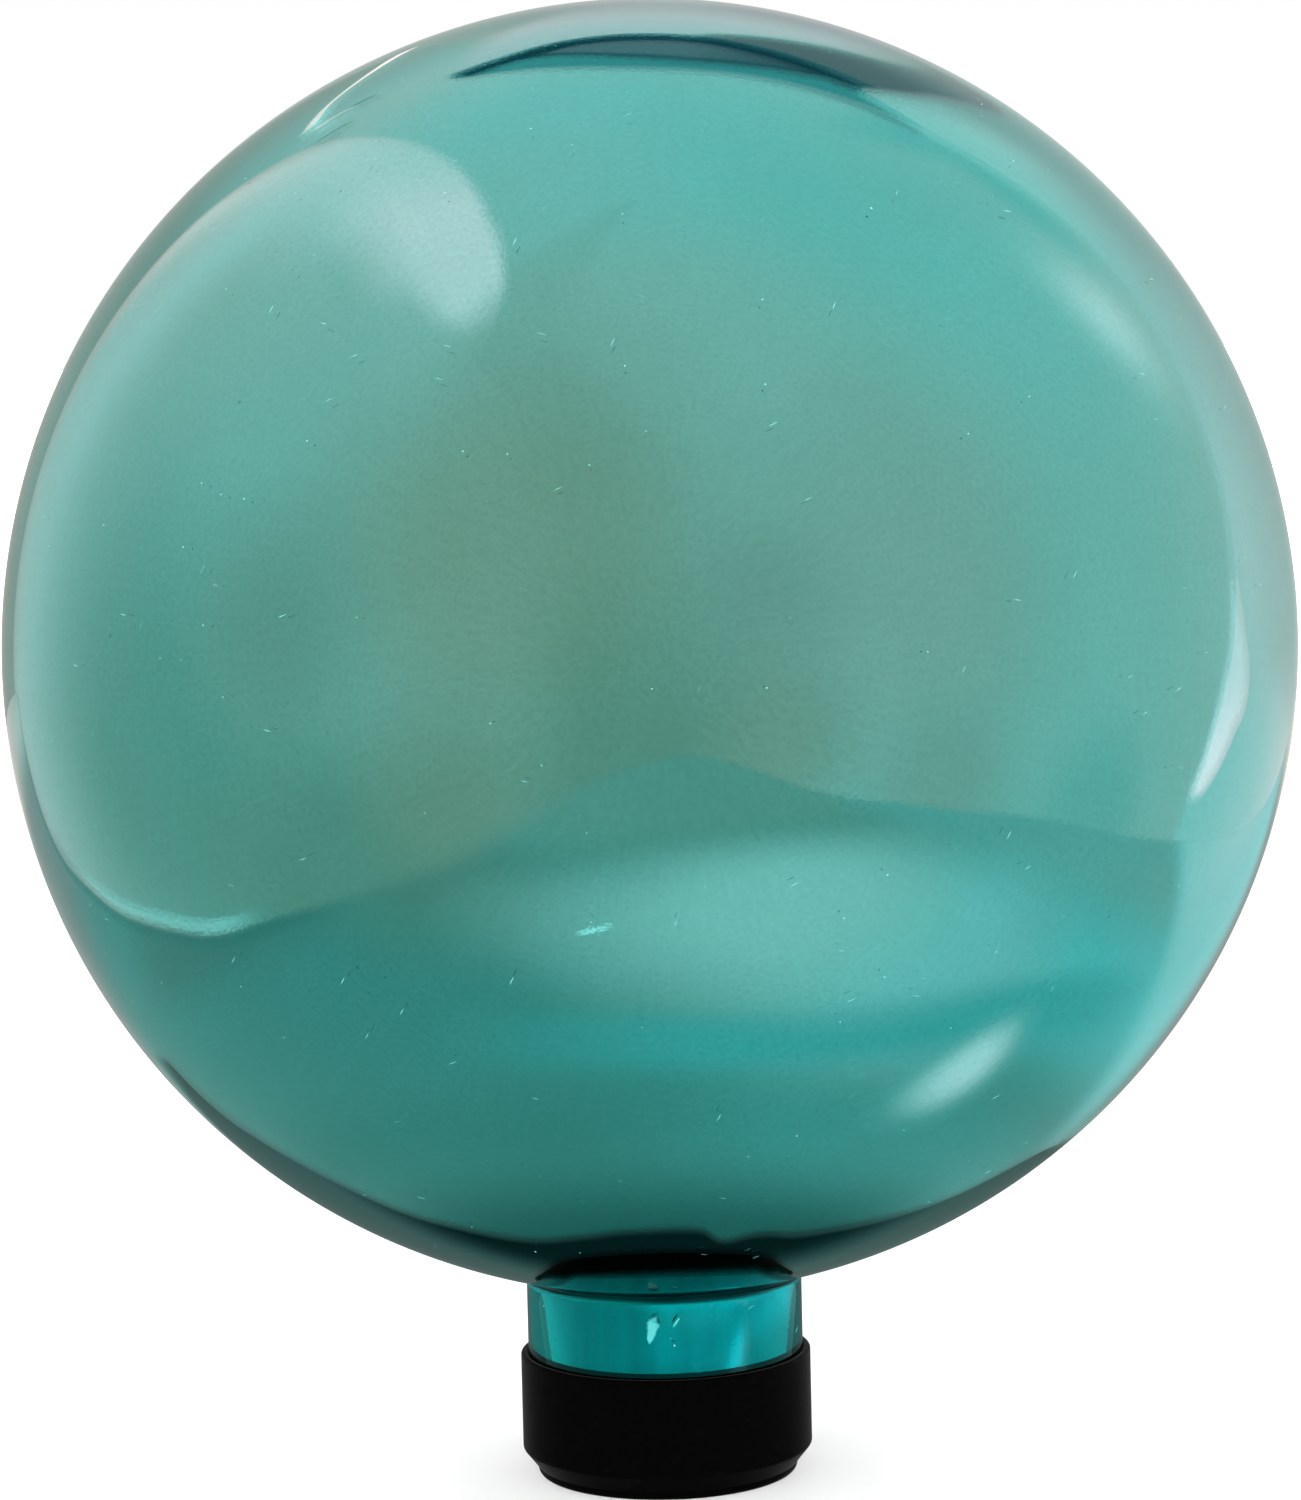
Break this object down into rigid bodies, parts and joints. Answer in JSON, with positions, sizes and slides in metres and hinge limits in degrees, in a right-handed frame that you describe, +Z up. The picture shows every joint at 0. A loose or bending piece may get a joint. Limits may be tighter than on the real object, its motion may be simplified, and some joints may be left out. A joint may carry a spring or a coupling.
{
  "type": "garden gazing ball",
  "caption": "Silvered glass ball on a short neck that sits in a pull-off rubber cap; a garden ornament for a ring or tube stand.",
  "frame": {"origin": "centre of the flat foot under the rubber cap, where the ball stands", "axes": "+Z up along the axis of the cap, neck and ball; the object is round about +Z, so +X and +Y are free"},
  "size_m": [0.2539, 0.254, 0.2924],
  "materials": {
    "teal_glass": "clear, polished",
    "silvering": "silvered, slightly hazed",
    "black_rubber": "matt moulded"
  },
  "bodies": {
    "cap": {"rubber_cap": "black_rubber"},
    "globe": {"glass_globe": "teal_glass", "mirror_lining": "silvering"}
  },
  "joints": [
    {"name": "lift_out_of_cap", "type": "slide", "parent": "cap", "child": "globe", "axis": [0, 0, 1], "range_m": [0, 0.025]}
  ]
}
